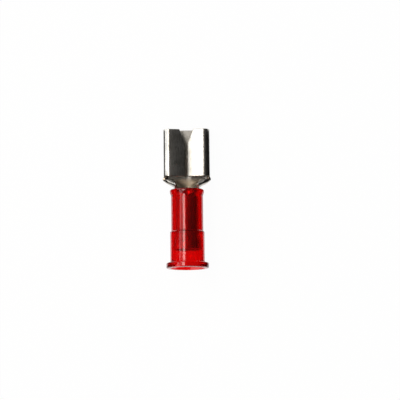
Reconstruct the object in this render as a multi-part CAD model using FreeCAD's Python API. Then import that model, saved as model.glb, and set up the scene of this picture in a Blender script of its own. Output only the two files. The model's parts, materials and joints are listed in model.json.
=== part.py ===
"""Insulated female spade terminal for a 6.35 mm tab, lying as it comes to rest. Millimetres.

Three pieces. The contact is one folded sheet: a flat base whose sides roll over towards each other and
press on the tab, a shouldered neck, and a barrel that is crimped on the bare wire. The crimp sleeve is a
metal tube over the barrel that widens behind it round the wire's insulation. The insulating sleeve is a
nylon moulding over both.

Each piece is modelled on the barrel's axis, which is Y, with the wire end's face at Y = 0 and the mouth
towards +Y, and is then laid on the surface that it rests on, Z = 0, under its flange and its mouth.
"""

import FreeCAD, Part
import math
import os

from FreeCAD import Placement, Rotation, Vector

# The tab that it takes
TAB_WIDTH = 6.35
TAB_THICKNESS = 0.80
TAB_SIDE_PLAY = 0.45
TAB_GRIP = 0.08

# The contact's sheet
SHEET = 0.40
EDGE_ROUND = 0.08

# The receptacle: the base lies this far below the barrel's axis, and the rolls lean in degrees
RECEPTACLE_LENGTH = 7.85
BASE_DROP = 2.40
BASE_BEND_RADIUS = 0.90
ROLL_RADIUS = 0.95
ROLL_LEAN_AT_BEND = 8.0
ROLL_LEAN_AT_SEAM = 20.0
SEAM_WIDTH = 0.50
NOTCH_WIDTH = 0.87
NOTCH_LENGTH = 2.10
DIMPLE_FROM_MOUTH = 4.40
DIMPLE_RADIUS = 0.75
DIMPLE_HEIGHT = 0.16

# The neck: two shoulders behind a slit, an open trough, and a throat that closes into the barrel
SLIT_WIDTH = 0.60
SLIT_HEIGHT = 0.85
SHOULDER_LENGTH = 1.70
SHOULDER_BULGE = 0.17
SHOULDER_FULLNESS = 1.65
SHOULDER_GATHER = 0.30
SHOULDER_OPENING = 4.00
NECK_WIDTH = 4.00
NECK_TURN = 105.0
THROAT_LENGTH = 1.20

# The barrel for the bare wire
BARREL_BORE = 2.20
BARREL_LENGTH = 5.95
BARREL_SEAM = 0.08
BARREL_LEAD = 0.15
BARREL_DEPTH = 5.80

# The crimp sleeve: a tube on the barrel, a cone behind it, and a grip for the wire's insulation
PIECE_FIT = 0.02
CRIMP_WALL = 0.35
CRIMP_BORE = 3.90
CRIMP_GRIP_LENGTH = 1.40
CRIMP_CONE_LENGTH = 1.40
CRIMP_SETBACK = 0.05
CRIMP_ROUND = 0.10

# The insulating sleeve: flange and funnel at the wire end, skirt, step, body and flared front
NYLON_BODY_WALL = 0.73
NYLON_SKIRT_WALL = 0.48
NYLON_STEP_PAST_BARREL = 0.12
NYLON_STEP_LENGTH = 0.16
NYLON_STEP_ROUND = 0.07
NYLON_FRONT_GAP = 0.05
NYLON_FRONT_FLARE = 0.18
NYLON_FRONT_BAND = 0.60
NYLON_FRONT_TAPER = 0.50
NYLON_FRONT_ROUND = 0.12
NYLON_BELL_PLAY = 0.15
NYLON_BELL_LENGTH = 0.70
FLANGE_WIDTH = 0.66
FLANGE_LENGTH = 0.90
FLANGE_ROUND = 0.20
FLANGE_FILLET = 0.20
FUNNEL_FLARE = 0.52
FUNNEL_LENGTH = 1.20
FUNNEL_ROUND = 0.12
SOFT_ROUND = 0.60

# The sections that the neck's surfaces pass through, and a height that clears the whole terminal
STATIONS = 7
CLEAR_HEIGHT = 20.0


def mix(one, two, share):
    """The value that lies a share of the way from one to two."""
    return one + (two - one) * share


def ease(share):
    """A share that starts and ends gently."""
    return share * share * (3 - 2 * share)


# Sizes that follow from the ones above


def receptacle_width():
    """The tab's width, its play and a sheet each side."""
    return TAB_WIDTH + TAB_SIDE_PLAY + 2 * SHEET


def barrel_radius():
    """The barrel's outer radius."""
    return BARREL_BORE / 2 + SHEET


def barrel_turn():
    """How far round each half of the barrel goes before the seam, in degrees."""
    return 180 - math.degrees(BARREL_SEAM / 2 / (barrel_radius() - SHEET / 2))


def barrel_end():
    """Where the barrel meets the throat, along the axis."""
    return BARREL_DEPTH + BARREL_LENGTH


def trough_place():
    """Where the neck is an open trough, between the throat and the shoulders."""
    return barrel_end() + THROAT_LENGTH


def rolls_end():
    """Where the rolls end, in front of the slit."""
    return trough_place() + SHOULDER_LENGTH + SLIT_WIDTH


def mouth_place():
    """The mouth's distance from the wire end, which is the terminal's length."""
    return rolls_end() + RECEPTACLE_LENGTH


def crimp_radius():
    """The crimp sleeve's outer radius over the barrel."""
    return barrel_radius() + PIECE_FIT + CRIMP_WALL


def grip_radius():
    """The crimp sleeve's outer radius round the wire's insulation."""
    return CRIMP_BORE / 2 + CRIMP_WALL


def skirt_radius():
    """The nylon's outer radius between the flange and the step."""
    return grip_radius() + PIECE_FIT + NYLON_SKIRT_WALL


def body_radius():
    """The nylon's outer radius between the step and the flared front."""
    return crimp_radius() + PIECE_FIT + NYLON_BODY_WALL


def flange_radius():
    """The nylon's outer radius at the flange."""
    return skirt_radius() + FLANGE_WIDTH


def nylon_front():
    """Where the nylon ends, just behind the trough."""
    return trough_place() - NYLON_FRONT_GAP


# The folded sheet's sections


def left_of(heading):
    """The direction to the left of a heading in the section's plane."""
    return Vector(-math.sin(heading), 0, math.cos(heading))


def travel(place, heading, length, curvature):
    """Where a move of constant curvature ends, and its heading there."""
    end = heading + curvature * length
    if abs(curvature) < 1e-9:
        return place + Vector(math.cos(heading), 0, math.sin(heading)) * length, end
    return place + (left_of(heading) - left_of(end)) * (1 / curvature), end


class Chain:
    """The middle line of half a section, from the base's middle to the free edge, turning left.

    Each move has a length and a curvature, so every move is a line or an arc.
    """

    def __init__(self, level, moves):
        self.level = level
        self.moves = moves

    def blend(self, other, share):
        """The chain that lies a share of the way from this one to another."""
        pairs = zip(self.moves, other.moves)
        moves = [(mix(a, c, share), mix(b, d, share)) for (a, b), (c, d) in pairs]
        return Chain(mix(self.level, other.level, share), moves)

    def widened(self, extra):
        """The same chain with a longer flat."""
        (flat, curvature), *others = self.moves
        return Chain(self.level, [(flat + extra, curvature), *others])

    def face(self, offset):
        """Start, middle and end of each move, carried to the left by an offset."""
        place, heading = Vector(0, 0, self.level), 0.0
        for length, curvature in self.moves:
            stops = [travel(place, heading, length * part, curvature) for part in (0.0, 0.5, 1.0)]
            yield [spot + left_of(turn) * offset for spot, turn in stops]
            place, heading = stops[-1]


def curve(points, side, y):
    """A line or an arc through three points of a section, on one side of the middle."""
    start, middle, end = [Vector(side * p.x, y, p.z) for p in points]
    if (middle - (start + end) * 0.5).Length < 1e-7:
        return Part.LineSegment(start, end).toShape()
    return Part.Arc(start, middle, end).toShape()


def section(chain, y, sheet=SHEET):
    """The closed wire of a folded section at one place on the axis."""
    outer, inner = list(chain.face(-sheet / 2)), list(chain.face(sheet / 2))
    back = [points[::-1] for points in reversed(inner)]
    home = [points[::-1] for points in reversed(outer)]
    tip, root = outer[-1][-1], inner[-1][-1]
    tip_edge = [tip, (tip + root) * 0.5, root]
    edges = [curve(points, 1, y) for points in [*outer, tip_edge, *back]]
    edges += [curve(points, -1, y) for points in [*inner, tip_edge[::-1], *home]]
    return Part.Wire(edges)


def roll_leans():
    """The rolls' lean where the arm leaves the bend and at the seam, in radians."""
    return math.radians(ROLL_LEAN_AT_BEND), math.radians(ROLL_LEAN_AT_SEAM)


def arm_run():
    """How far a roll's arm reaches inwards on its middle line, from the bend to the seam."""
    lean, lean_end = roll_leans()
    bend_end = receptacle_width() / 2 - ROLL_RADIUS - (ROLL_RADIUS - SHEET / 2) * math.sin(lean)
    return bend_end - SEAM_WIDTH / 2 - SHEET / 2 * math.sin(lean_end)


def arm_curvature():
    """The curvature that takes an arm from its first lean to its last."""
    lean, lean_end = roll_leans()
    return (math.sin(lean_end) - math.sin(lean)) / arm_run()


def arm_length(run):
    """The length, on its middle line, of an arm that reaches inwards by a run."""
    lean = roll_leans()[0]
    return (math.asin(math.sin(lean) + arm_curvature() * run) - lean) / arm_curvature()


def roll_height():
    """The receptacle's height, which leaves the tab's grip between the base and the free edges."""
    lean, lean_end = roll_leans()
    bend_fall = ROLL_RADIUS - (ROLL_RADIUS - SHEET / 2) * math.cos(lean)
    arm_fall = (math.cos(lean) - math.cos(lean_end)) / arm_curvature()
    edge_fall = SHEET / 2 * math.cos(lean_end)
    return SHEET + TAB_THICKNESS - TAB_GRIP + bend_fall + arm_fall + edge_fall


def receptacle_chain(arm):
    """The receptacle's half section, with an arm of a given length on its middle line."""
    bend, roll = BASE_BEND_RADIUS - SHEET / 2, ROLL_RADIUS - SHEET / 2
    moves = [
        (receptacle_width() / 2 - BASE_BEND_RADIUS, 0.0),
        (bend * math.radians(90), 1 / bend),
        (roll_height() - BASE_BEND_RADIUS - ROLL_RADIUS, 0.0),
        (roll * math.radians(90 + ROLL_LEAN_AT_BEND), 1 / roll),
        (arm, arm_curvature()),
    ]
    return Chain(SHEET / 2 - BASE_DROP, moves)


def shoulder_chain():
    """The half section behind the slit: the receptacle's, with its arm trimmed to the opening."""
    return receptacle_chain(arm_length(arm_run() - (SHOULDER_OPENING - SEAM_WIDTH) / 2))


def round_chain(radius, degrees):
    """A half section that is one arc round the axis, in as many moves as the receptacle's."""
    whole = radius * math.radians(degrees)
    lengths = [length for length, _ in shoulder_chain().moves]
    return Chain(-radius, [(whole * length / sum(lengths), 1 / radius) for length in lengths])


# The contact


def shoulders():
    """The sides narrow in two full shoulders, and the sheet gathers a little as they do."""
    wide, trough = shoulder_chain(), round_chain((NECK_WIDTH - SHEET) / 2, NECK_TURN)
    wires = []
    for station in range(STATIONS):
        share = station / (STATIONS - 1)
        bulge = SHOULDER_BULGE * math.sin(math.pi * min(1.0, 2.5 * share))
        sheet = SHEET * (1 + SHOULDER_GATHER * math.sin(math.pi * share))
        chain = wide.blend(trough, ease(share**SHOULDER_FULLNESS)).widened(bulge)
        wires.append(section(chain, mix(rolls_end(), trough_place(), share), sheet))
    return Part.makeLoft(wires, True, False)


def throat():
    """The trough tightens and closes into the barrel."""
    wires = []
    for station in range(STATIONS):
        share = station / (STATIONS - 1)
        radius = mix((NECK_WIDTH - SHEET) / 2, barrel_radius() - SHEET / 2, ease(share))
        turn = mix(NECK_TURN, barrel_turn(), ease(share))
        wires.append(section(round_chain(radius, turn), mix(trough_place(), barrel_end(), share)))
    return Part.makeLoft(wires, True, False)


def extruded(wire, length):
    """A solid from a closed wire, carried towards +Y."""
    return Part.Face(wire).extrude(Vector(0, length, 0))


def barrel():
    """The tube for the bare wire, open at its seam and bevelled inside its wire end."""
    radius = barrel_radius() - SHEET / 2
    tube = extruded(section(round_chain(radius, barrel_turn()), BARREL_DEPTH), BARREL_LENGTH)
    bore = BARREL_BORE / 2
    lead = Part.makeCone(bore + BARREL_LEAD, bore, BARREL_LEAD, Vector(0, BARREL_DEPTH, 0), Vector(0, 1, 0))
    return tube.cut(lead)


def slit():
    """What is cut between the rolls and the shoulders, above the base's bends."""
    width = receptacle_width() + 2 * SHOULDER_BULGE
    corner = Vector(-width / 2, rolls_end() - SLIT_WIDTH, SLIT_HEIGHT - BASE_DROP)
    return Part.makeBox(width, SLIT_WIDTH, CLEAR_HEIGHT, corner)


def notch():
    """What is cut off the rolls' corners at the mouth, above the base."""
    inner, outer = SEAM_WIDTH / 2, SEAM_WIDTH / 2 + 2 * NOTCH_WIDTH
    start, end = mouth_place() - NOTCH_LENGTH, mouth_place() + NOTCH_LENGTH
    level = SHEET + (TAB_THICKNESS - TAB_GRIP) / 2 - BASE_DROP
    corners = [(-inner, start), (inner, start), (outer, end), (-outer, end), (-inner, start)]
    outline = Part.makePolygon([Vector(x, y, level) for x, y in corners])
    return Part.Face(outline).extrude(Vector(0, 0, CLEAR_HEIGHT))


def dome(level):
    """The part of a ball above a level, as wide and as high as the dimple."""
    ball = (DIMPLE_RADIUS**2 + DIMPLE_HEIGHT**2) / (2 * DIMPLE_HEIGHT)
    place, size = mouth_place() - DIMPLE_FROM_MOUTH, 2 * ball
    below = Part.makeBox(size, size, size, Vector(-ball, place - ball, level - size))
    return Part.makeSphere(ball, Vector(0, place, level + DIMPLE_HEIGHT - ball)).cut(below)


def mouth_edges(shape):
    """The edges of the base and the rolls that lie in the mouth's plane."""

    def lies_there(edge):
        return all(abs(vertex.Point.y - mouth_place()) < 1e-6 for vertex in edge.Vertexes)

    return [edge for edge in shape.Edges if lies_there(edge)]


def contact():
    """The folded sheet: receptacle, shoulders, throat and barrel."""
    full = receptacle_chain(arm_length(arm_run()))
    receptacle = extruded(section(full, rolls_end()), RECEPTACLE_LENGTH)
    sheet = receptacle.fuse([shoulders(), throat(), barrel()]).removeSplitter()
    sheet = sheet.cut([slit(), notch()])
    sheet = sheet.makeFillet(EDGE_ROUND, mouth_edges(sheet))
    sheet = sheet.fuse(dome(SHEET - BASE_DROP)).cut(dome(-BASE_DROP))
    return sheet.Solids[0]


# The two sleeves


def corner_arc(before, corner, after):
    """The arc that rounds a corner between its two neighbours, each a radius, a place and a rounding."""
    here = Vector(corner[0], corner[1], 0)
    one = (Vector(before[0], before[1], 0) - here).normalize()
    two = (Vector(after[0], after[1], 0) - here).normalize()
    half, rounding = one.getAngle(two) / 2, corner[2]
    reach = rounding / math.tan(half)
    middle = here + (one + two).normalize() * (rounding / math.sin(half) - rounding)
    return Part.Arc(here + one * reach, middle, here + two * reach)


def rounded_outline(corners):
    """A closed wire in the XY plane with each of its corners rounded."""
    count = len(corners)
    arcs = [corner_arc(corners[i - 1], corners[i], corners[(i + 1) % count]) for i in range(count)]
    edges = []
    for index, arc in enumerate(arcs):
        edges.append(Part.LineSegment(arcs[index - 1].EndPoint, arc.StartPoint).toShape())
        edges.append(arc.toShape())
    return Part.Wire(edges)


def turned(corners):
    """A solid of revolution round the axis."""
    return Part.Face(rounded_outline(corners)).revolve(Vector(0, 0, 0), Vector(0, 1, 0), 360)


def crimp_sleeve():
    """The metal sleeve: grip, cone and tube, with rounded ends."""
    cone_start = BARREL_DEPTH - CRIMP_CONE_LENGTH
    wire_end = cone_start - CRIMP_GRIP_LENGTH
    front = barrel_end() - CRIMP_SETBACK
    tube_bore, tube = barrel_radius() + PIECE_FIT, crimp_radius()
    grip_bore, grip = CRIMP_BORE / 2, grip_radius()
    return turned(
        [
            (grip_bore, wire_end, CRIMP_ROUND),
            (grip, wire_end, CRIMP_ROUND),
            (grip, cone_start, SOFT_ROUND),
            (tube, BARREL_DEPTH, SOFT_ROUND),
            (tube, front, CRIMP_ROUND),
            (tube_bore, front, CRIMP_ROUND),
            (tube_bore, BARREL_DEPTH, CRIMP_ROUND),
            (grip_bore, cone_start, SOFT_ROUND),
        ]
    )


def insulating_sleeve():
    """The nylon moulding: outside from the wire end to the front, then back along the bore."""
    front, step = nylon_front(), BARREL_DEPTH + NYLON_STEP_PAST_BARREL
    skirt, body = skirt_radius(), body_radius()
    skirt_bore, body_bore = skirt - NYLON_SKIRT_WALL, body - NYLON_BODY_WALL
    flare = body + NYLON_FRONT_FLARE
    band_start = front - NYLON_FRONT_BAND
    return turned(
        [
            (skirt_bore + FUNNEL_FLARE, 0, FUNNEL_ROUND),
            (flange_radius(), 0, FLANGE_ROUND),
            (flange_radius(), FLANGE_LENGTH, FLANGE_ROUND),
            (skirt, FLANGE_LENGTH, FLANGE_FILLET),
            (skirt, step, NYLON_STEP_ROUND),
            (body, step + NYLON_STEP_LENGTH, NYLON_STEP_ROUND),
            (body, band_start - NYLON_FRONT_TAPER, SOFT_ROUND),
            (flare, band_start, SOFT_ROUND),
            (flare, front, NYLON_FRONT_ROUND),
            (NECK_WIDTH / 2 + NYLON_BELL_PLAY, front, NYLON_FRONT_ROUND),
            (body_bore, front - NYLON_BELL_LENGTH, SOFT_ROUND),
            (body_bore, step, NYLON_STEP_ROUND),
            (skirt_bore, step, NYLON_STEP_ROUND),
            (skirt_bore, FUNNEL_LENGTH, SOFT_ROUND),
        ]
    )


# How it lies


def rest_placement():
    """The turn and lift that lay the flange and the mouth's lower edge on the surface.

    Both touch with a rounded edge, so the surface is the common tangent of two small circles in the
    plane of the axis. Its slope is that of the line between their centres, and a little more for their
    difference in radius.
    """
    flange = Vector(0, FLANGE_LENGTH - FLANGE_ROUND, FLANGE_ROUND - flange_radius())
    mouth = Vector(0, mouth_place() - EDGE_ROUND, EDGE_ROUND - BASE_DROP)
    across = mouth - flange
    tilt = math.atan2(across.z, across.y) + math.asin((FLANGE_ROUND - EDGE_ROUND) / across.Length)
    turn = Rotation(Vector(1, 0, 0), -math.degrees(tilt))
    return Placement(Vector(0, 0, FLANGE_ROUND - turn.multVec(flange).z), turn)


def lay_down(pieces):
    """Lays the pieces on the surface, with the origin under the middle of their box."""
    placement = rest_placement()
    for shape in pieces:
        shape.Placement = placement.multiply(shape.Placement)
    box = Part.makeCompound(pieces).optimalBoundingBox(False)
    placement.move(Vector(0, -(box.YMin + box.YMax) / 2, 0))
    for shape in pieces:
        shape.translate(Vector(0, -(box.YMin + box.YMax) / 2, 0))
    return placement


def main():
    """Builds the pieces, lays them down and writes one file for each."""
    pieces = {
        "contact": contact(),
        "crimp_sleeve": crimp_sleeve(),
        "insulating_sleeve": insulating_sleeve(),
    }
    placement = lay_down(list(pieces.values()))
    os.makedirs("parts", exist_ok=True)
    for name, shape in pieces.items():
        shape.exportStep(f"parts/{name}.step")
        box = shape.optimalBoundingBox(False)
        print(f"{name}: valid {shape.isValid()}, {shape.Volume:.2f} mm3, lowest {box.ZMin:.3f}")
    print("wire end:", placement.multVec(Vector(0, 0, 0)))
    print("barrel's wire end:", placement.multVec(Vector(0, BARREL_DEPTH, 0)))
    print("mouth:", placement.multVec(Vector(0, mouth_place(), 0)))


main()
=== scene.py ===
"""The looks of an insulated female spade terminal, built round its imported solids.

Three pieces are made here as surfaces worked out on grids: the folded contact, the crimp sleeve that shows
through the nylon, and the nylon sleeve. Sizes are in millimetres along the barrel's own axis, with the wire
end at zero, and one placement carries them to the row frame in metres.
"""

import json
import logging
import math
from dataclasses import dataclass
from enum import Enum, IntEnum

import bpy
import numpy as np
from mathutils import Matrix, Vector

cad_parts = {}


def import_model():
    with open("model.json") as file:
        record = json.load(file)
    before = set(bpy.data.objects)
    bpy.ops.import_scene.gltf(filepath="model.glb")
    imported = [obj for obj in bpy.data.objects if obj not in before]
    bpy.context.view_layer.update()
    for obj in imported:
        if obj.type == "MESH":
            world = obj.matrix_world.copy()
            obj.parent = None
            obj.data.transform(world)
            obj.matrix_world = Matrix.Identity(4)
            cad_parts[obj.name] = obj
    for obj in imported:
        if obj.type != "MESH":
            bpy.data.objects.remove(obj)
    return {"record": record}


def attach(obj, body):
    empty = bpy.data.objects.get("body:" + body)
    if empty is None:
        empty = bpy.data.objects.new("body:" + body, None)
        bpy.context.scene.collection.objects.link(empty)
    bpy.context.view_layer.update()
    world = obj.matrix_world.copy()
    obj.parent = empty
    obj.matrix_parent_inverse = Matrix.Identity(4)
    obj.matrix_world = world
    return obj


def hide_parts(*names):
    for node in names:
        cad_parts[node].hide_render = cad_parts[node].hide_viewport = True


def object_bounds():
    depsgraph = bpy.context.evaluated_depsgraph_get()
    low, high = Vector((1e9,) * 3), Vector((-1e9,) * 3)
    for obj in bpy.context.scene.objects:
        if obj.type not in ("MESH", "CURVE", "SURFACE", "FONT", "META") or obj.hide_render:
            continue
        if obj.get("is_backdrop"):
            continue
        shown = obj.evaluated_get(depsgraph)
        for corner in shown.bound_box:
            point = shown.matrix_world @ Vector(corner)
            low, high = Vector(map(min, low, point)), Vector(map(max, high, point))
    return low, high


LOG = logging.getLogger("spade_terminal")
METRES = 0.001
BODY = "root"
# How far the conductor bore's mount is from the wire end's face, in millimetres.
BORE_FROM_WIRE_END = 8.80
# Less than any two rows are apart, in millimetres.
HAIR = 1e-6

Array = np.ndarray
Corners = list[tuple[float, float, float]]
Links = dict[str, bpy.types.NodeSocket]


class Grain(Enum):
    """The way that the last working of a metal surface left its fine lines.

    Each value scales their pattern across, along and up: a small part draws the lines out that way.
    """

    ALONG_THE_TERMINAL = (1.0, 0.03, 1.0)
    ROUND_THE_TUBE = (0.05, 1.0, 0.05)


def mix(one: float, two: float, share: Array) -> Array:
    """The value that lies a share of the way from one to two."""
    return one + (two - one) * share


def ease(share: Array) -> Array:
    """A share that starts and ends gently: three squares less two cubes."""
    return share * share * (3 - 2 * share)


def linear(code: str) -> tuple[float, float, float, float]:
    """Turns an sRGB hex colour to the linear one that shaders take.

    Args:
        code: Six hex digits after a hash sign.

    Returns:
        Red, green, blue and an alpha of one.
    """
    parts = [int(code[i : i + 2], 16) / 255 for i in (1, 3, 5)]
    red, green, blue = (p / 12.92 if p <= 0.04045 else ((p + 0.055) / 1.055) ** 2.4 for p in parts)
    return red, green, blue, 1.0


def add_node(
    tree: bpy.types.NodeTree, kind: str, links: Links | None = None, **settings: object
) -> bpy.types.Node:
    """Adds one node.

    Args:
        tree: The node tree that gets it.
        kind: The node's type name.
        links: The sockets that feed its inputs, by input name, or by number where names repeat.
        settings: Its own properties, and its inputs' values under their names with underscores for spaces.

    Returns:
        The new node.
    """
    node = tree.nodes.new(kind)
    for name, value in settings.items():
        if hasattr(node, name):
            setattr(node, name, value)
        else:
            node.inputs[name.replace("_", " ")].default_value = value
    for name, socket in (links or {}).items():
        tree.links.new(socket, node.inputs[int(name) if name.isdigit() else name])
    return node


def new_material(name: str) -> bpy.types.Material:
    """Starts a node material.

    Args:
        name: The material's name.

    Returns:
        A material with nothing in it yet.
    """
    material = bpy.data.materials.new(name)
    material.use_nodes = True
    material.node_tree.nodes.clear()
    return material


@dataclass(frozen=True)
class Placement:
    """Carries points on the barrel's axis frame, in millimetres, to the row frame, in metres."""

    start: Vector
    along: Vector

    @classmethod
    def from_mount(cls, record: dict, name: str, from_wire_end: float) -> "Placement":
        """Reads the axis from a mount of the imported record.

        Args:
            record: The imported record.
            name: The mount on the axis, which points towards the wire end.
            from_wire_end: The mount's distance from the wire end's face, in millimetres.

        Returns:
            The placement whose start is on the axis at the wire end's face.
        """
        mount = next(m for m in record["mounts"] if m["name"] == name)
        along = -Vector(mount["axis"]).normalized()
        return cls(Vector(mount["pos_m"]) - along * from_wire_end * METRES, along)

    def rows(self, points: Array) -> Array:
        """Places points that are across, along and up from the axis.

        Args:
            points: An array whose last axis is across, along and up, in millimetres.

        Returns:
            The same points in the row frame, in metres.
        """
        across = Vector((1.0, 0.0, 0.0))
        up = across.cross(self.along)
        basis = np.array([across, self.along, up]) * METRES
        return np.array(self.start) + points @ basis


def add_piece(name: str, points: Array, faces: Array, **values: Array) -> bpy.types.Object:
    """Makes one mesh object at the origin, smooth shaded.

    Args:
        name: The piece's name.
        points: One row of three coordinates for each vertex, in metres.
        faces: One row of four vertex numbers for each face.
        values: Vertex values for the materials, by attribute name.

    Returns:
        The object, linked to the scene.
    """
    mesh = bpy.data.meshes.new(name)
    mesh.from_pydata(points.tolist(), [], faces.tolist())
    for key, numbers in values.items():
        attribute = mesh.attributes.new(key, "FLOAT", "POINT")
        attribute.data.foreach_set("value", numbers.astype(np.float32).ravel())
    mesh.polygons.foreach_set("use_smooth", np.ones(len(faces), bool))
    mesh.validate()
    mesh.update()
    piece = bpy.data.objects.new(name, mesh)
    bpy.context.scene.collection.objects.link(piece)
    LOG.info("%s: %d vertices, %d faces", name, len(points), len(faces))
    return piece


def rounding(steps: int) -> Array:
    """Distances into a rounded edge of radius one: one less the sine of even angles, edge last."""
    return 1 - np.sin(np.linspace(0, math.pi / 2, steps + 1))


@dataclass(frozen=True)
class TinnedBrass:
    """Cartridge brass, rolled bright and tin-plated before it was stamped.

    The tin gives a cool, soft mirror with fine rolling lines and faint cloudy patches, duller inside the
    folds. Sheared edges show the brass. A faint brass tint over the shoulders is painted shade: the warm
    reflection of the red nylon and the shade in the trough.
    """

    name: str
    grain: Grain
    tin: str = "#D2D0CB"
    dull_tin: str = "#B4B2AB"
    brass: str = "#A98A58"
    roughness: float = 0.29
    smoother_by: float = 0.04
    rougher_by: float = 0.07
    duller_inside_by: float = 0.28
    # Real rolling lines are about 0.01 mm apart. These are as coarse as they need to be to show.
    line_mm: float = 0.07
    line_depth_mm: float = 0.0012
    line_tones: tuple[float, float] = (0.3, 0.7)
    cloud_mm: float = 1.6
    cloud_tones: tuple[float, float] = (0.35, 0.65)

    def material(self) -> bpy.types.Material:
        """Builds the finish.

        Returns:
            A material that reads three vertex values: the bare edges, the painted shade's brass tint, and how
            dull the inside is.
        """
        made = new_material(self.name)
        tree = made.node_tree
        place = add_node(tree, "ShaderNodeTexCoord").outputs["Object"]
        bare, painted_warm_shade, inside = (
            add_node(tree, "ShaderNodeAttribute", attribute_name=value).outputs["Fac"]
            for value in ("bare", "painted_warm_shade", "inside")
        )
        per_metre = 1 / (self.line_mm * METRES)
        scale = tuple(part * per_metre for part in self.grain.value)
        along = add_node(tree, "ShaderNodeMapping", {"Vector": place}, Scale=scale)
        lines = add_node(
            tree, "ShaderNodeTexNoise", {"Vector": along.outputs[0]}, Scale=1.0, Detail=3.0, Roughness=0.6
        ).outputs["Fac"]
        clouds = add_node(
            tree, "ShaderNodeTexNoise", {"Vector": place}, Scale=1 / (self.cloud_mm * METRES), Detail=2.0
        ).outputs["Fac"]
        # Painted shade: the brass tint over the shoulders stands in for the warm reflection of the red nylon
        # and the shade in the trough, streaked by the rolling lines.
        brass_tints = add_node(tree, "ShaderNodeMath", {"0": lines, "1": painted_warm_shade}, operation="MULTIPLY")
        showing = add_node(
            tree, "ShaderNodeMath", {"0": brass_tints.outputs[0], "1": bare}, operation="ADD", use_clamp=True
        )
        low, high = self.cloud_tones
        patchy = add_node(tree, "ShaderNodeMapRange", {"Value": clouds}, From_Min=low, From_Max=high)
        plated = add_node(tree, "ShaderNodeMix", {"0": patchy.outputs[0]}, data_type="RGBA")
        plated.inputs[6].default_value = linear(self.tin)
        plated.inputs[7].default_value = linear(self.dull_tin)
        colour = add_node(
            tree, "ShaderNodeMix", {"0": showing.outputs[0], "6": plated.outputs[2]}, data_type="RGBA"
        )
        colour.inputs[7].default_value = linear(self.brass)
        low, high = self.line_tones
        brushed = add_node(
            tree,
            "ShaderNodeMapRange",
            {"Value": lines},
            From_Min=low,
            From_Max=high,
            To_Min=self.roughness - self.smoother_by,
            To_Max=self.roughness + self.rougher_by,
        )
        rough = add_node(
            tree, "ShaderNodeMath", {"0": inside, "2": brushed.outputs[0]}, operation="MULTIPLY_ADD"
        )
        rough.inputs[1].default_value = self.duller_inside_by
        depth = self.line_depth_mm * METRES
        bump = add_node(tree, "ShaderNodeBump", {"Height": lines}, Distance=depth, Strength=1.0)
        shader = add_node(
            tree,
            "ShaderNodeBsdfPrincipled",
            {"Base Color": colour.outputs[2], "Roughness": rough.outputs[0], "Normal": bump.outputs[0]},
            Metallic=1.0,
        )
        add_node(tree, "ShaderNodeOutputMaterial", {"Surface": shader.outputs[0]})
        return made


@dataclass(frozen=True)
class RedNylon:
    """Polyamide 6.6 with a clear red dye, injection moulded in a polished mould.

    It is glossy and lets light through. What is behind it shows red and a little blurred.
    """

    name: str = "moulded_red_nylon"
    red: str = "#FF1E1E"
    depth: str = "#EF3A3A"
    absorbed_per_mm: float = 2.2
    roughness: float = 0.11
    ior: float = 1.53
    clear: float = 0.94
    flow_mm: float = 0.9
    flow_grain: tuple[float, float, float] = (1.0, 0.25, 1.0)
    flow_depth_mm: float = 0.004

    def material(self) -> bpy.types.Material:
        """Builds the finish.

        Returns:
            A glossy transmitting surface, faintly uneven along the moulding's flow, with an absorbing inside.
        """
        made = new_material(self.name)
        tree = made.node_tree
        place = add_node(tree, "ShaderNodeTexCoord").outputs["Object"]
        scale = tuple(part / (self.flow_mm * METRES) for part in self.flow_grain)
        along = add_node(tree, "ShaderNodeMapping", {"Vector": place}, Scale=scale)
        flow = add_node(tree, "ShaderNodeTexNoise", {"Vector": along.outputs[0]}, Scale=1.0, Detail=2.0)
        depth = self.flow_depth_mm * METRES
        bump = add_node(
            tree, "ShaderNodeBump", {"Height": flow.outputs["Fac"]}, Distance=depth, Strength=1.0
        )
        shader = add_node(
            tree,
            "ShaderNodeBsdfPrincipled",
            {"Normal": bump.outputs[0]},
            Base_Color=linear(self.red),
            Roughness=self.roughness,
            IOR=self.ior,
            Transmission_Weight=self.clear,
        )
        density = self.absorbed_per_mm / METRES
        inside = add_node(tree, "ShaderNodeVolumeAbsorption", Color=linear(self.depth), Density=density)
        add_node(
            tree, "ShaderNodeOutputMaterial", {"Surface": shader.outputs[0], "Volume": inside.outputs[0]}
        )
        return made


@dataclass(frozen=True)
class StudioWhite:
    """Matt white card. Most of its white is its own light, so the shadow on it stays faint."""

    name: str = "matt_white_card"
    white: str = "#FFFFFF"
    own_light: float = 0.97

    def material(self) -> bpy.types.Material:
        """Builds the finish.

        Returns:
            A diffuse white that the camera, reflections and clear pieces see partly lit from itself.
        """
        made = new_material(self.name)
        tree = made.node_tree
        path = add_node(tree, "ShaderNodeLightPath").outputs
        seen = path["Is Camera Ray"]
        for ray in ("Is Glossy Ray", "Is Transmission Ray"):
            either = add_node(tree, "ShaderNodeMath", {"0": seen, "1": path[ray]}, operation="MAXIMUM")
            seen = either.outputs[0]
        share = add_node(tree, "ShaderNodeMath", {"0": seen}, operation="MULTIPLY")
        share.inputs[1].default_value = self.own_light
        card = add_node(tree, "ShaderNodeBsdfDiffuse", Color=linear(self.white))
        light = add_node(tree, "ShaderNodeEmission", Color=linear(self.white), Strength=1.0)
        both = add_node(
            tree, "ShaderNodeMixShader", {"0": share.outputs[0], "1": card.outputs[0], "2": light.outputs[0]}
        )
        add_node(tree, "ShaderNodeOutputMaterial", {"Surface": both.outputs[0]})
        return made


@dataclass(frozen=True)
class StudioBlack:
    """Matt black card, which a shiny edge needs beside it to stand out from white."""

    name: str = "matt_black_card"
    black: str = "#1C1C1C"

    def material(self) -> bpy.types.Material:
        """Builds the finish.

        Returns:
            A nearly black diffuse surface.
        """
        made = new_material(self.name)
        card = add_node(made.node_tree, "ShaderNodeBsdfDiffuse", Color=linear(self.black))
        add_node(made.node_tree, "ShaderNodeOutputMaterial", {"Surface": card.outputs[0]})
        return made


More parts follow.
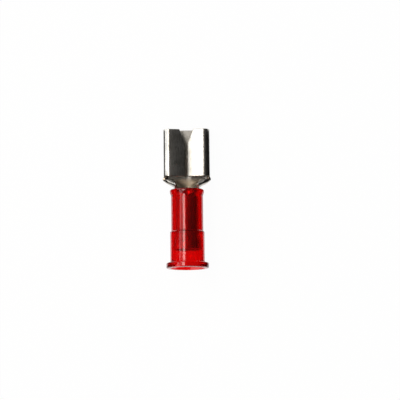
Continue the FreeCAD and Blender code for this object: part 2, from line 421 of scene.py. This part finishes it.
@dataclass(frozen=True)
class Moves:
    """Half sections as chains of arcs, one row for each place on the axis.

    A chain starts at the base's middle, heads outwards and turns left. Each move has a length and a
    curvature, so it is a line or an arc.
    """

    level: Array
    lengths: Array
    curvatures: Array

    def turns(self) -> Array:
        """How far each move turns, in radians: its length times its curvature."""
        return self.lengths * self.curvatures

    def blended(self, other: "Moves", share: Array) -> "Moves":
        """Blends the chains with other ones, row by row.

        Args:
            other: Chains with as many moves.
            share: How far on the way to them each row is.

        Returns:
            One chain for each row.
        """
        wide = share[:, None]
        return Moves(
            mix(self.level, other.level, share),
            mix(self.lengths, other.lengths, wide),
            mix(self.curvatures, other.curvatures, wide),
        )

    def cut(self, move: int, shares: list[Array]) -> "Moves":
        """Splits one move in parts of the same curvature.

        Args:
            move: The move's number.
            shares: The part of its length that each piece takes, one array of rows for each piece.

        Returns:
            Chains of the same shape with more moves.
        """
        lengths = [self.lengths[:, move] * share for share in shares]
        curves = [self.curvatures[:, move]] * len(shares)
        before, after = slice(0, move), slice(move + 1, None)
        return Moves(
            self.level,
            np.column_stack([self.lengths[:, before], *lengths, self.lengths[:, after]]),
            np.column_stack([self.curvatures[:, before], *curves, self.curvatures[:, after]]),
        )

    def walk(self, moves: Array, parts: Array) -> tuple[Array, Array, Array, Array]:
        """Finds points on every chain.

        The chord of an arc is its length times the sine of half its turn over half its turn, and it heads
        half the turn to the left of the arc's start.

        Args:
            moves: The move that each column lies on.
            parts: How far along that move the column lies, from 0 to 1.

        Returns:
            Across, up, heading in radians and distance from the base's middle, as rows by columns.
        """
        turns = self.turns()
        heading = np.cumsum(turns, axis=1) - turns
        chord = self.lengths * np.sinc(turns / 2 / math.pi)
        step_x, step_z = chord * np.cos(heading + turns / 2), chord * np.sin(heading + turns / 2)
        start_x = np.cumsum(step_x, axis=1) - step_x
        start_z = np.cumsum(step_z, axis=1) - step_z + self.level[:, None]
        before = np.cumsum(self.lengths, axis=1) - self.lengths
        turn = turns[:, moves] * parts
        length = self.lengths[:, moves] * parts
        reach = length * np.sinc(turn / 2 / math.pi)
        middle = heading[:, moves] + turn / 2
        x = start_x[:, moves] + reach * np.cos(middle)
        z = start_z[:, moves] + reach * np.sin(middle)
        return x, z, heading[:, moves] + turn, before[:, moves] + length


class Fold(IntEnum):
    """The moves of a half section, once the slit's edge and the free edge are moves of their own."""

    BASE = 0
    BELOW_SLIT = 1
    SLIT_EDGE = 2
    ABOVE_SLIT = 3
    SIDE = 4
    ROLL = 5
    ARM = 6
    FREE_EDGE = 7


@dataclass
class Contact:
    """The folded sheet: receptacle, shoulders, throat and barrel.

    Sizes are in millimetres, leans and turns in degrees, and places are distances from the wire end.
    """

    finish: TinnedBrass
    sheet: float = 0.40
    edge_round: float = 0.08
    slot_width: float = 6.80
    slot_height: float = 0.72
    base_drop: float = 2.40
    base_bend: float = 0.90
    roll_bend: float = 0.95
    lean_at_bend: float = 8.0
    lean_at_seam: float = 20.0
    seam: float = 0.50
    notch_width: float = 0.87
    notch_length: float = 2.10
    dimple_from_mouth: float = 4.40
    dimple_radius: float = 0.75
    dimple_height: float = 0.16
    slit_width: float = 0.60
    slit_height: float = 0.85
    shoulder_opening: float = 4.00
    shoulder_bulge: float = 0.17
    bulge_pace: float = 2.5
    shoulder_fullness: float = 1.65
    shoulder_gather: float = 0.30
    neck_width: float = 4.00
    neck_turn: float = 105.0
    barrel_bore: float = 2.20
    barrel_seam: float = 0.08
    barrel_lead: float = 0.15
    barrel_at: float = 5.80
    throat_at: float = 11.75
    trough_at: float = 12.95
    rolls_at: float = 15.25
    mouth_at: float = 23.10
    row_step: float = 0.10
    edge_steps: int = 4
    columns_by_move: tuple[int, ...] = (30, 12, 0, 2, 3, 18, 22, 0)
    edge_wear: float = 0.35
    # How strong the painted shade is: a brass tint over the shoulders for the warm reflection and shade in
    # the trough.
    shoulder_shade_tint: float = 1.6
    throat_dullness: float = 0.3

    def leans(self) -> tuple[float, float]:
        """The arm's lean at the bend and at the seam, in radians."""
        return math.radians(self.lean_at_bend), math.radians(self.lean_at_seam)

    def slit_end(self) -> float:
        """The place where the slit behind the rolls ends."""
        return self.rolls_at - self.slit_width

    def arm_run(self) -> float:
        """Works out how far an arm reaches inwards.

        Returns:
            The reach of the arm's middle line from the roll's end, without the notch.
        """
        lean, lean_end = self.leans()
        half = self.slot_width / 2 + self.sheet
        bend_end = half - self.roll_bend - (self.roll_bend - self.sheet / 2) * math.sin(lean)
        return bend_end - self.seam / 2 - self.sheet / 2 * math.sin(lean_end)

    def arm_curvature(self) -> float:
        """The curvature that takes an arm from its first lean to its last: the sines' change over the run."""
        lean, lean_end = self.leans()
        return (math.sin(lean_end) - math.sin(lean)) / self.arm_run()

    def arm_length(self, run: Array) -> Array:
        """The length of an arm that reaches inwards by a run: its turn over its curvature."""
        lean = self.leans()[0]
        return (np.arcsin(math.sin(lean) + self.arm_curvature() * run) - lean) / self.arm_curvature()

    def roll_height(self) -> float:
        """Works out the receptacle's height from the slot that it leaves.

        Returns:
            The height that puts the arms' free edges the slot's height above the base.
        """
        lean, lean_end = self.leans()
        bend_fall = self.roll_bend - (self.roll_bend - self.sheet / 2) * math.cos(lean)
        arm_fall = (math.cos(lean) - math.cos(lean_end)) / self.arm_curvature()
        return self.sheet + self.slot_height + bend_fall + arm_fall + self.sheet / 2 * math.cos(lean_end)

    def receptacle(self, run: Array) -> Moves:
        """The receptacle's half sections: base, bend, side, roll and arm.

        Args:
            run: How far the arm of each row reaches inwards.

        Returns:
            One chain for each row.
        """
        bend, roll = self.base_bend - self.sheet / 2, self.roll_bend - self.sheet / 2
        side = self.roll_height() - self.base_bend - self.roll_bend
        flat = self.slot_width / 2 + self.sheet - self.base_bend
        lengths = [flat, bend * math.pi / 2, side, roll * (math.pi / 2 + self.leans()[0])]
        curves = [0.0, 1 / bend, 0.0, 1 / roll, self.arm_curvature()]
        ones = np.ones(len(run))
        return Moves(
            ones * (self.sheet / 2 - self.base_drop),
            np.column_stack([np.outer(ones, lengths), self.arm_length(run)]),
            np.outer(ones, curves),
        )

    def round_tube(self, radius: Array, degrees: Array) -> Moves:
        """Half sections that are one arc round the axis, split as the shoulders' half section is.

        Args:
            radius: The radius of each row's middle line.
            degrees: How far round each row's half goes.

        Returns:
            One chain for each row.
        """
        short = self.receptacle(np.array([self.arm_run() - (self.shoulder_opening - self.seam) / 2]))
        whole = radius * np.radians(degrees)
        return Moves(
            -radius,
            np.outer(whole, short.lengths[0] / short.lengths[0].sum()),
            np.outer(1 / radius, np.ones(short.lengths.shape[1])),
        )

    def places(self) -> Array:
        """Spreads the rows along the axis, closer over the slit and the shoulders, and closest at the edges.

        Returns:
            The rows' places, from the mouth to the barrel's wire end.
        """
        band = rounding(self.edge_steps) * self.edge_round
        slit_end = self.slit_end()
        near = [self.mouth_at - band, self.rolls_at + band, slit_end - band, self.barrel_at + band]
        stretches = [
            (self.mouth_at - self.edge_round, self.rolls_at + self.edge_round, self.row_step),
            (self.rolls_at, slit_end, self.slit_width / 3),
            (slit_end - self.edge_round, self.trough_at, self.row_step / 2),
            (self.trough_at, self.throat_at, self.row_step),
            (self.throat_at, self.barrel_at + self.edge_round, self.row_step * 5),
        ]
        even = [np.linspace(a, b, max(2, round((a - b) / step) + 1)) for a, b, step in stretches]
        return np.unique(np.concatenate([*near, *even]).round(6))[::-1]

    def sections(self, places: Array) -> Moves:
        """The half section at each place.

        Behind the rolls the receptacle's section turns to a trough: the share of the way grows as an eased
        power of the distance, and over its first part the flat is widened by half a sine. The trough then
        tightens to the barrel.

        Args:
            places: The rows' places on the axis.

        Returns:
            One chain for each row.
        """
        notch = np.clip((places - self.mouth_at + self.notch_length) / self.notch_length, 0, 1)
        short = (self.shoulder_opening - self.seam) / 2
        trimmed = np.where(places >= self.rolls_at - HAIR, self.notch_width * notch, short)
        wide = self.receptacle(self.arm_run() - trimmed)
        share = np.clip((self.rolls_at - places) / (self.rolls_at - self.trough_at), 0, 1)
        bulge = self.shoulder_bulge * np.sin(math.pi * np.minimum(1, self.bulge_pace * share))
        closing = ease(np.clip((self.trough_at - places) / (self.trough_at - self.throat_at), 0, 1))
        radius = mix((self.neck_width - self.sheet) / 2, (self.barrel_bore + self.sheet) / 2, closing)
        barrel_turn = 180 - math.degrees(self.barrel_seam / (self.barrel_bore + self.sheet))
        tube = self.round_tube(radius, mix(self.neck_turn, barrel_turn, closing))
        chains = wide.blended(tube, ease(share**self.shoulder_fullness))
        chains.lengths[:, Fold.BASE] += bulge
        return chains

    def edged(self, chains: Moves) -> Moves:
        """Gives the slit's rounded edge and the free edge moves of their own.

        Args:
            chains: The rows' half sections.

        Returns:
            Chains of the same shape, with the moves of Fold.
        """
        slit_turn = math.acos(1 - (self.slit_height - self.sheet / 2) / (self.base_bend - self.sheet / 2))
        floor_share = np.full(len(chains.level), slit_turn / (math.pi / 2))
        band = self.edge_round / chains.lengths[:, Fold.BELOW_SLIT]
        chains = chains.cut(Fold.BELOW_SLIT, [floor_share - band, band, 1 - floor_share])
        tip = self.edge_round / chains.lengths[:, Fold.ARM]
        return chains.cut(Fold.ARM, [1 - tip, tip])

    def columns(self) -> tuple[Array, Array]:
        """Spreads the columns over a half section. A move with none of its own is a rounded edge.

        Returns:
            Each column's move, and its part of that move from 0 to 1.
        """
        edge = 1 - rounding(self.edge_steps)[1:]
        parts = [np.arange(1, n + 1) / n if n else edge for n in self.columns_by_move]
        moves = np.concatenate([[Fold.BASE], *[[i] * len(p) for i, p in enumerate(parts)]]).astype(int)
        return moves, np.concatenate([[0.0], *parts])

    def thickness(self, places: Array) -> Array:
        """The sheet's thickness at each place: it gathers by half a sine over the shoulders."""
        share = np.clip((self.rolls_at - places) / (self.rolls_at - self.trough_at), 0, 1)
        return self.sheet * (1 + self.shoulder_gather * np.sin(math.pi * share))

    def into_edges(self, y: Array, run: Array, chains: Moves) -> Array:
        """Works out how far each point is into a rounded edge, by its distance from the nearest edge.

        Args:
            y: Each point's place on the axis.
            run: Its distance from the base's middle, along the sheet.
            chains: The rows' half sections, with the moves of Fold.

        Returns:
            Shares from 0, where the rounding starts, to 1 at the edge itself.
        """
        past_slit = np.maximum(0, np.maximum(y - self.rolls_at, self.slit_end() - y))
        floor_run = chains.lengths[:, : Fold.ABOVE_SLIT].sum(axis=1)[:, None]
        under_slit = np.maximum(0, floor_run - run)
        tip_run = chains.lengths.sum(axis=1)[:, None]
        from_edge = np.minimum.reduce(
            [np.hypot(past_slit, under_slit), self.mouth_at - y, y - self.barrel_at, tip_run - run]
        )
        return np.clip(1 - from_edge / self.edge_round, 0, 1)

    def dimple(self, x: Array, y: Array) -> Array:
        """Works out the dimple's rise: the cap of a ball, whose radius its own width and height give.

        Args:
            x: Each point's distance from the middle.
            y: Its place on the axis.

        Returns:
            How far the base is pressed up at each point.
        """
        spread = np.hypot(x, y - self.mouth_at + self.dimple_from_mouth)
        ball = (self.dimple_radius**2 + self.dimple_height**2) / (2 * self.dimple_height)
        raised = np.sqrt(np.clip(ball**2 - spread**2, 0, None)) - ball + self.dimple_height
        return np.clip(raised, 0, None)

    def where_brass_shows(self, places: Array, into: Array, run_share: Array) -> dict[str, Array]:
        """Works out where brass shows: at worn edges, and as painted shade over the shoulders.

        The outer half of a sheared edge is bare. Over the shoulders, as the sheet gathers, a brass tint
        paints the warm reflection and shade in the trough, less towards the free edge.

        Args:
            places: The rows' places on the axis.
            into: How far each point is into a rounded edge.
            run_share: Its distance from the base's middle, as a share of the half section's length.

        Returns:
            The edges' bare brass and the painted shade's tint, for half the sheet's points.
        """
        drawn = np.clip(self.thickness(places) / self.sheet - 1, 0, 1)[:, None] / self.shoulder_gather
        return {
            "bare": self.edge_wear * np.clip(2 * into - 1, 0, 1),
            # Painted shade: a brass tint where the sheet gathers, for the warm reflection and shade in the
            # trough.
            "painted_warm_shade": np.clip(self.shoulder_shade_tint * drawn * (1 - run_share), 0, 1),
        }

    def kept_cells(self, places: Array, moves: Array) -> Array:
        """Finds the cells that the slit leaves.

        Args:
            places: The rows' places on the axis.
            moves: The columns' moves.

        Returns:
            Which cells of the whole grid hold sheet, as rows by columns.
        """
        in_slit = (places[:-1] <= self.rolls_at + HAIR) & (places[1:] >= self.slit_end() - HAIR)
        above = (moves > Fold.SLIT_EDGE)[1:]
        return ~(in_slit[:, None] & np.concatenate([above[::-1], above])[None, :])

    def build(self, placement: Placement) -> bpy.types.Object:
        """Makes the sheet as two faces either side of its middle surface, closed along every edge.

        A point lies half the sheet's thickness from the middle surface along the section's normal. Within the
        edge's radius of an edge that half shrinks along a quarter circle.

        Args:
            placement: Carries the shape to the row frame.

        Returns:
            The contact's object.
        """
        places = self.places()
        chains = self.edged(self.sections(places))
        moves, parts = self.columns()
        x, z, heading, run = chains.walk(moves, parts)
        y = np.repeat(places[:, None], len(moves), axis=1)
        z = z + np.where((moves == Fold.BASE)[None, :], self.dimple(x, y), 0)
        into = self.into_edges(y, run, chains)
        half = self.thickness(places)[:, None] / 2 - self.edge_round * (1 - np.sqrt(1 - into**2))
        lead = np.clip(self.barrel_lead - (y - self.barrel_at), 0, None)
        inward = np.stack([-np.sin(heading), np.zeros_like(y), np.cos(heading)], axis=-1)
        middle = np.stack([x, y, z], axis=-1)
        sides = [middle - inward * half[..., None], middle + inward * (half - lead)[..., None]]
        across = np.array([-1.0, 1.0, 1.0])
        points = np.concatenate([mirrored(side, across).reshape(-1, 3) for side in sides])
        run_share = run / chains.lengths.sum(axis=1)[:, None]
        brass_tints = self.where_brass_shows(places, into, run_share)
        values = {key: np.tile(mirrored(value).ravel(), 2) for key, value in brass_tints.items()}
        dullness = np.where(places > self.rolls_at, 1.0, self.throat_dullness)
        in_slot = np.repeat(dullness, 2 * len(moves) - 1)
        values["inside"] = np.concatenate([np.zeros_like(in_slot), in_slot])
        faces = sheet_faces(self.kept_cells(places, moves))
        piece = add_piece("contact_folded_sheet", placement.rows(points), faces, **values)
        piece.data.materials.append(self.finish.material())
        return piece


def mirrored(half: Array, flip: Array | float = 1.0) -> Array:
    """A whole grid from its right half: that half turned round and flipped, less its middle, then itself."""
    return np.concatenate([half[:, :0:-1] * flip, half], axis=1)


def sheet_faces(kept: Array) -> Array:
    """The faces of a sheet with two sides on one grid, walled along every edge of what is kept.

    Args:
        kept: Which cells of the grid hold sheet, as rows by columns.

    Returns:
        Four vertex numbers for each face, which points outwards. The outer side's vertices come first, row
        by row, then the inner's.
    """
    rows, columns = kept.shape[0] + 1, kept.shape[1] + 1
    number = np.arange(rows * columns).reshape(rows, columns)
    inner = rows * columns
    corners = np.stack([number[:-1, :-1], number[1:, :-1], number[1:, 1:], number[:-1, 1:]], axis=-1)
    outer_faces = corners[kept]
    faces = [outer_faces, outer_faces[:, ::-1] + inner]
    padded = np.pad(kept, 1)
    here = padded[1:-1, 1:-1]
    beside = [padded[:-2, 1:-1], padded[1:-1, :-2], padded[2:, 1:-1], padded[1:-1, 2:]]
    ends = [(3, 0), (0, 1), (1, 2), (2, 3)]
    for other, (first, last) in zip(beside, ends):
        edge = corners[here & ~other]
        one, two = edge[:, first], edge[:, last]
        faces.append(np.stack([two, one, one + inner, two + inner], axis=-1))
    # The corners run clockwise as seen from outside, so each face's order is turned round.
    return np.concatenate(faces)[:, ::-1]


@dataclass
class TurnedShell:
    """A closed profile carried once round the axis."""

    around: int = 256
    arc_steps: int = 7
    flat_step: float = 0.5

    def profile(self, corners: Corners) -> Array:
        """Rounds the corners of a closed outline.

        An arc of radius r touches both sides at r over the tangent of half the corner's angle. Its points
        are spread evenly in angle between the two touching points.

        Args:
            corners: Radius, place and rounding of each corner, in order.

        Returns:
            Points along the outline, each a radius and a place, with long straights divided.
        """
        points = np.array([c[:2] for c in corners])
        radii = np.array([c[2] for c in corners])
        before, after = np.roll(points, 1, axis=0) - points, np.roll(points, -1, axis=0) - points
        one = before / np.linalg.norm(before, axis=1)[:, None]
        two = after / np.linalg.norm(after, axis=1)[:, None]
        half = np.arccos(np.clip((one * two).sum(axis=1), -1, 1)) / 2
        bisector = (one + two) / np.linalg.norm(one + two, axis=1)[:, None]
        centre = points + bisector * (radii / np.sin(half))[:, None]
        start = points + one * (radii / np.tan(half))[:, None] - centre
        end = points + two * (radii / np.tan(half))[:, None] - centre
        turn = math.pi - 2 * half
        share = np.linspace(0, 1, self.arc_steps + 1)
        angle = turn[:, None] * share
        weight_one = np.sin(turn[:, None] - angle) / np.sin(turn)[:, None]
        weight_two = np.sin(angle) / np.sin(turn)[:, None]
        arcs = centre[:, None] + start[:, None] * weight_one[..., None] + end[:, None] * weight_two[..., None]
        pieces = []
        for arc, following in zip(arcs, np.roll(arcs, -1, axis=0)):
            gap = np.linalg.norm(following[0] - arc[-1])
            steps = max(1, round(gap / self.flat_step))
            shares = np.arange(1, steps)[:, None] / steps
            pieces += [arc, arc[-1] + (following[0] - arc[-1]) * shares]
        return np.concatenate(pieces)

    def shell(self, name: str, corners: Corners, placement: Placement) -> bpy.types.Object:
        """Turns the outline: across is radius times cosine, up is radius times sine.

        Args:
            name: The piece's name.
            corners: The outline's corners, counter-clockwise with the radius to the right and the place up.
            placement: Carries the shape to the row frame.

        Returns:
            The object.
        """
        outline = self.profile(corners)
        angle = np.arange(self.around) / self.around * 2 * math.pi
        radius, place = outline[:, 0][None, :], outline[:, 1][None, :]
        points = np.stack(
            [
                radius * np.cos(angle)[:, None],
                np.repeat(place, self.around, axis=0),
                radius * np.sin(angle)[:, None],
            ],
            axis=-1,
        )
        number = np.arange(self.around * len(outline)).reshape(self.around, len(outline))
        beyond = np.roll(number, -1, axis=0)
        faces = np.stack([number, np.roll(number, -1, axis=1), np.roll(beyond, -1, axis=1), beyond], axis=-1)
        return add_piece(name, placement.rows(points.reshape(-1, 3)), faces.reshape(-1, 4))


@dataclass(kw_only=True)
class CrimpSleeve(TurnedShell):
    """The metal tube over the barrel, with a cone behind it and a grip for the wire's insulation.

    Bores, walls and roundings are in millimetres, and places are distances from the wire end.
    """

    finish: TinnedBrass
    tube_bore: float = 1.52
    grip_bore: float = 1.95
    wall: float = 0.35
    wire_end: float = 3.00
    cone_at: float = 4.40
    tube_at: float = 5.80
    front: float = 11.70
    edge_round: float = 0.10
    soft_round: float = 0.60

    def build(self, placement: Placement) -> bpy.types.Object:
        """Makes the sleeve, outside from the wire end to the front, then back along the bore.

        Args:
            placement: Carries the shape to the row frame.

        Returns:
            The sleeve's object.
        """
        grip, tube = self.grip_bore + self.wall, self.tube_bore + self.wall
        outline = [
            (self.grip_bore, self.wire_end, self.edge_round),
            (grip, self.wire_end, self.edge_round),
            (grip, self.cone_at, self.soft_round),
            (tube, self.tube_at, self.soft_round),
            (tube, self.front, self.edge_round),
            (self.tube_bore, self.front, self.edge_round),
            (self.tube_bore, self.tube_at, self.edge_round),
            (self.grip_bore, self.cone_at, self.soft_round),
        ]
        piece = self.shell("crimp_sleeve_tube", outline, placement)
        piece.data.materials.append(self.finish.material())
        return piece


@dataclass(kw_only=True)
class InsulatingSleeve(TurnedShell):
    """The nylon moulding: flange and funnel at the wire end, skirt, step, body and flared front.

    Radii, lengths and roundings are in millimetres, and places are distances from the wire end.
    """

    finish: RedNylon
    flange: float = 3.46
    flange_length: float = 0.90
    flange_round: float = 0.20
    rim_round: float = 0.16
    fillet: float = 0.20
    skirt: float = 2.80
    skirt_bore: float = 2.32
    step_at: float = 5.92
    step_length: float = 0.16
    step_round: float = 0.07
    body: float = 2.62
    body_bore: float = 1.89
    flare: float = 2.80
    flare_at: float = 12.40
    taper: float = 0.50
    front: float = 12.90
    front_round: float = 0.28
    bell: float = 2.15
    bell_length: float = 0.70
    funnel: float = 2.84
    funnel_length: float = 1.20
    funnel_round: float = 0.05
    soft_round: float = 0.60

    def build(self, placement: Placement) -> bpy.types.Object:
        """Makes the moulding, outside from the wire end to the front, then back along the bore.

        Args:
            placement: Carries the shape to the row frame.

        Returns:
            The moulding's object.
        """
        outline = [
            (self.funnel, 0.0, self.funnel_round),
            (self.flange, 0.0, self.rim_round),
            (self.flange, self.flange_length, self.flange_round),
            (self.skirt, self.flange_length, self.fillet),
            (self.skirt, self.step_at, self.step_round),
            (self.body, self.step_at + self.step_length, self.step_round),
            (self.body, self.flare_at - self.taper, self.soft_round),
            (self.flare, self.flare_at, self.soft_round),
            (self.flare, self.front, self.front_round),
            (self.bell, self.front, self.front_round),
            (self.body_bore, self.front - self.bell_length, self.soft_round),
            (self.body_bore, self.step_at, self.step_round),
            (self.skirt_bore, self.step_at, self.step_round),
            (self.skirt_bore, self.funnel_length, self.soft_round),
        ]
        piece = self.shell("nylon_sleeve", outline, placement)
        piece.data.materials.append(self.finish.material())
        return piece


@dataclass
class Studio:
    """The white card that the terminal lies on, one long soft lamp on its left, and the camera above it.

    Sizes are in millimetres, leans and tilts in degrees, and brightness is in times that of lit white card.
    """

    picture_side: float = 65.3
    lens: float = 150.0
    lens_film: float = 36.0
    lens_reach_m: tuple[float, float] = (0.01, 10.0)
    camera_tilt: float = 84.9
    camera_roll: float = 0.67
    aim: tuple[float, float, float] = (2.12, -0.28, 2.96)
    floor_side: float = 3000.0
    lamp_distance: float = 500.0
    lamp_step: float = 10.0
    lamp_length: float = 470.0
    lamp_ahead: float = 18.0
    lamp_colour: str = "#FFF9F2"
    lamp_parts: tuple[tuple[float, float, float], ...] = ((27.0, 240.0, 1.0), (21.5, 120.0, 5.4))
    sleeve_card_gap: float = 3.5
    contact_card_gap: float = 1.3
    rolls_card: float = 2.1
    neck_card: float = 6.0
    sleeve_card: float = 10.0
    neck_length: float = 2.6
    roll_shade: float = 0.4
    pale_up_to: float = 17.0
    fade_from: float = 0.6
    wall_brightness: float = 2.0
    paler_on_left: float = 0.7
    paler_behind: float = 0.4
    ceiling: float = 0.035

    def camera(self) -> None:
        """Puts the camera at the photograph's angle, as far off as its lens needs for the picture's side."""
        data = bpy.data.cameras.new("camera")
        data.lens, data.sensor_width = self.lens, self.lens_film
        data.clip_start, data.clip_end = self.lens_reach_m
        camera = bpy.data.objects.new("camera", data)
        tilt = math.radians(self.camera_tilt)
        back = Vector((0.0, -math.cos(tilt), math.sin(tilt)))
        distance = self.picture_side * self.lens / self.lens_film * METRES
        facing = (-back).to_track_quat("-Z", "Y").to_matrix().to_4x4()
        roll = Matrix.Rotation(math.radians(-self.camera_roll), 4, "Z")
        camera.matrix_world = Matrix.Translation(Vector(self.aim) * METRES + back * distance) @ facing @ roll
        bpy.context.scene.collection.objects.link(camera)
        bpy.context.scene.camera = camera

    def card(self, name: str, corners: Corners, finish: StudioWhite | StudioBlack) -> bpy.types.Object:
        """Adds a flat card of the studio.

        Args:
            name: The card's name.
            corners: Its four corners, in millimetres.
            finish: Its white or black.

        Returns:
            The card's object, which is not a piece of the terminal.
        """
        piece = add_piece(name, np.array(corners) * METRES, np.array([[0, 1, 2, 3]]))
        piece.data.materials.append(finish.material())
        piece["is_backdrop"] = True
        return piece

    def floor(self) -> None:
        """Lays the white card."""
        side = self.floor_side / 2
        corners = [(-side, -side, 0.0), (side, -side, 0.0), (side, side, 0.0), (-side, side, 0.0)]
        self.card("floor_card", corners, StudioWhite())

    def black_cards(self, low: Vector, high: Vector, rolls_end: float) -> None:
        """Stands five black cards beside the terminal, which only reflections see.

        Args:
            low: The terminal's lowest corner, in metres.
            high: Its highest corner.
            rolls_end: How far towards the mouth the rolls begin, where the lamp's side gets a lower card.
        """
        low, high = low / METRES, high / METRES
        neck = rolls_end / METRES - self.neck_length
        rolls = rolls_end / METRES + self.roll_shade
        close, wide = low.x - self.contact_card_gap, low.x - self.sleeve_card_gap
        cards = [
            ("by_sleeve", wide, low.y, rolls, self.sleeve_card),
            ("by_neck", close, neck, rolls, self.neck_card),
            ("by_rolls", close, rolls, high.y, self.rolls_card),
            ("right_of_sleeve", -wide, low.y, high.y, self.sleeve_card),
            ("right_of_contact", -close, neck, high.y, self.neck_card),
        ]
        for side, edge, near, far, height in cards:
            corners = [(edge, near, 0.0), (edge, far, 0.0), (edge, far, height), (edge, near, height)]
            card = self.card(f"black_card_{side}", corners, StudioBlack())
            card.visible_camera = card.visible_diffuse = False
            card.visible_shadow = card.visible_transmission = False

    def lamps(self) -> None:
        """Hangs the long soft lamp in two parts, because a soft lamp is brightest in its middle.

        Each part has its lean to the left, its width and how many times as bright as lit white card it is.
        The middle hangs a step in front of the rest.
        """
        for number, (lean, width, brightness) in enumerate(self.lamp_parts):
            data = bpy.data.lights.new(f"soft_lamp_{number}", "AREA")
            data.shape = "RECTANGLE"
            data.size, data.size_y = self.lamp_length * METRES, width * METRES
            data.energy = brightness * math.pi * data.size * data.size_y
            data.color = linear(self.lamp_colour)[:3]
            lamp = bpy.data.objects.new(data.name, data)
            sideways, ahead = math.radians(lean), math.radians(self.lamp_ahead)
            rise = math.cos(sideways)
            back = Vector((-math.sin(sideways), rise * math.sin(ahead), rise * math.cos(ahead)))
            lengthways = (Vector((0.0, 1.0, 0.0)) - back * back.y).normalized()
            facing = Matrix((lengthways, back.cross(lengthways), back)).transposed().to_4x4()
            distance = (self.lamp_distance - self.lamp_step * number) * METRES
            lamp.matrix_world = Matrix.Translation(back * distance) @ facing
            bpy.context.scene.collection.objects.link(lamp)

    def room(self) -> None:
        """Gives the world white walls and a dark ceiling, by the direction looked in.

        The white reaches higher on the lamp's side and behind the wire end, because the height that it goes
        by is the direction's own height plus shares of how far it points to the right and to the mouth.
        """
        world = bpy.data.worlds.new("room")
        bpy.context.scene.world = world
        world.use_nodes = True
        tree = world.node_tree
        tree.nodes.clear()
        way = add_node(tree, "ShaderNodeTexCoord").outputs["Generated"]
        parts = add_node(tree, "ShaderNodeSeparateXYZ", {"Vector": way})
        height = parts.outputs["Z"]
        for part, share in (("X", self.paler_on_left), ("Y", self.paler_behind)):
            links = {"0": parts.outputs[part], "2": height}
            added = add_node(tree, "ShaderNodeMath", links, operation="MULTIPLY_ADD")
            added.inputs[1].default_value = share
            height = added.outputs[0]
        top = math.sin(math.radians(self.pale_up_to))
        level = add_node(
            tree,
            "ShaderNodeMapRange",
            {"Value": height},
            interpolation_type="SMOOTHSTEP",
            From_Min=top * self.fade_from,
            From_Max=top,
            To_Min=self.wall_brightness,
            To_Max=self.ceiling,
        )
        white = linear("#FFFFFF")
        walls = add_node(tree, "ShaderNodeBackground", {"Strength": level.outputs[0]}, Color=white)
        add_node(tree, "ShaderNodeOutputWorld", {"Surface": walls.outputs[0]})


def dress(piece: bpy.types.Object, node: str) -> None:
    """Hides the node that a piece replaces, and makes the piece move with the body.

    Args:
        piece: The finished piece.
        node: The node that it replaces.
    """
    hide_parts(node)
    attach(piece, BODY)


def main() -> None:
    """Builds the studio and the three pieces."""
    logging.basicConfig(level=logging.INFO, format="%(message)s")
    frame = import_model()
    cad_box = [list(corner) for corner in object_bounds()]
    placement = Placement.from_mount(frame["record"], "conductor_bore", BORE_FROM_WIRE_END)
    rolls_end = placement.rows(np.array([0.0, Contact.rolls_at, 0.0]))[1]
    studio = Studio()
    studio.camera()
    studio.floor()
    studio.lamps()
    studio.room()
    studio.black_cards(*(Vector(corner) for corner in cad_box), rolls_end)
    sheet_finish = TinnedBrass("tin_plated_brass_sheet", Grain.ALONG_THE_TERMINAL)
    tube_finish = TinnedBrass("tin_plated_brass_tube", Grain.ROUND_THE_TUBE, roughness=0.5)
    dress(Contact(sheet_finish).build(placement), "contact")
    dress(CrimpSleeve(finish=tube_finish).build(placement), "crimp_sleeve")
    dress(InsulatingSleeve(finish=RedNylon()).build(placement), "insulating_sleeve")
    bpy.context.scene.view_settings.view_transform = "Standard"


if __name__ == "__main__":
    main()
